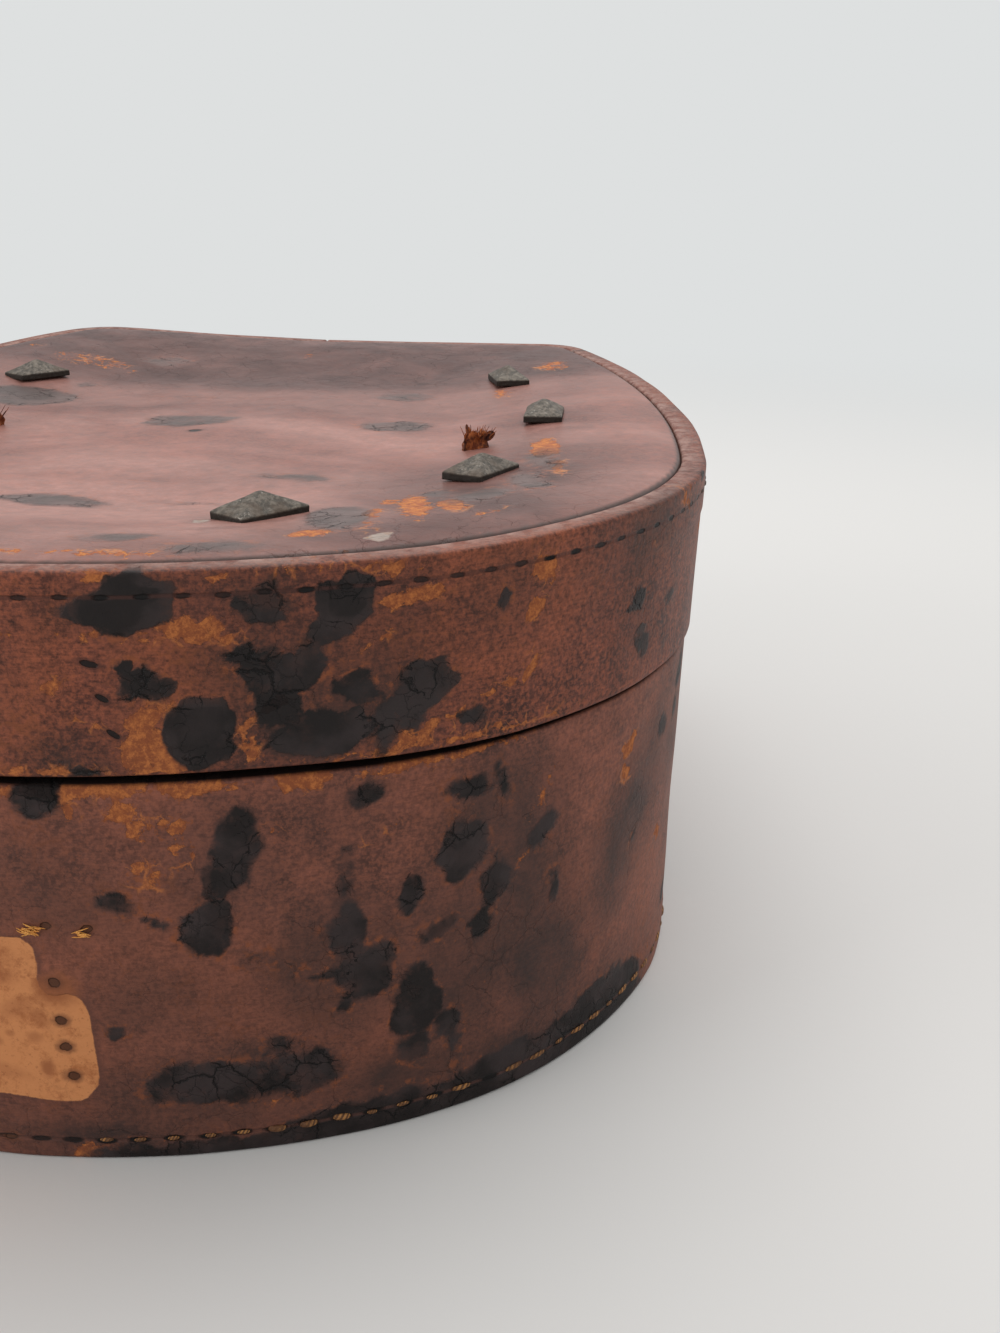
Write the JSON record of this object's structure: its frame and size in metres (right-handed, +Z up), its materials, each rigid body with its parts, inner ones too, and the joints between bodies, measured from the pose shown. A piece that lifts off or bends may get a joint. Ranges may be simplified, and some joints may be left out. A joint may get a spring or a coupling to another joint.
{
  "type": "collar box",
  "caption": "Horseshoe-shaped stitched leather collar box with a hinged lid, iron nail heads on the lid and a lined, necked interior",
  "frame": {"origin": "centre of the bounding box, on the flat underside that the box rests on", "axes": "+Z up, -Y to the rounded toe at the front, +Y to the flat heel with the hinge"},
  "size_m": [0.182, 0.2088, 0.0875],
  "materials": {
    "stained_hide": "worn semi-gloss",
    "raw_hide": "torn, matte",
    "pasteboard": "matte",
    "lining_cloth": "matte woven",
    "linen_thread": "waxed",
    "nail_iron": "oxidised, dull"
  },
  "bodies": {
    "base": {"base_wall": "stained_hide", "base_bottom_panel": "stained_hide", "base_seam_thread": "linen_thread", "base_floor_board": "pasteboard", "base_floor_lining": "lining_cloth", "neck_card": "pasteboard", "base_wall_lining": "lining_cloth", "neck_binding": "stained_hide", "hinge_base_leaf": "stained_hide", "hinge_base_thread": "linen_thread"},
    "lid": {"lid_wall": "stained_hide", "lid_top_panel": "stained_hide", "lid_seam_thread": "linen_thread", "lid_top_card": "pasteboard", "lid_top_lining": "lining_cloth", "lid_wall_lining": "lining_cloth", "hinge_lid_leaf": "stained_hide", "hinge_lid_thread": "linen_thread", "nail_left_toe": "nail_iron", "nail_left_quarter": "nail_iron", "nail_left_flank": "nail_iron", "nail_left_heel": "nail_iron", "nail_right_toe": "nail_iron", "nail_right_quarter": "nail_iron", "nail_right_flank": "nail_iron", "nail_right_heel": "nail_iron", "handle_stub_left": "raw_hide", "handle_stub_right": "raw_hide"}
  },
  "joints": [
    {"name": "lid_hinge", "type": "hinge", "parent": "base", "child": "lid", "pos_m": [0, 0.1044, 0.0569], "axis": [-1, 0, 0], "range_deg": [0, 115]}
  ]
}
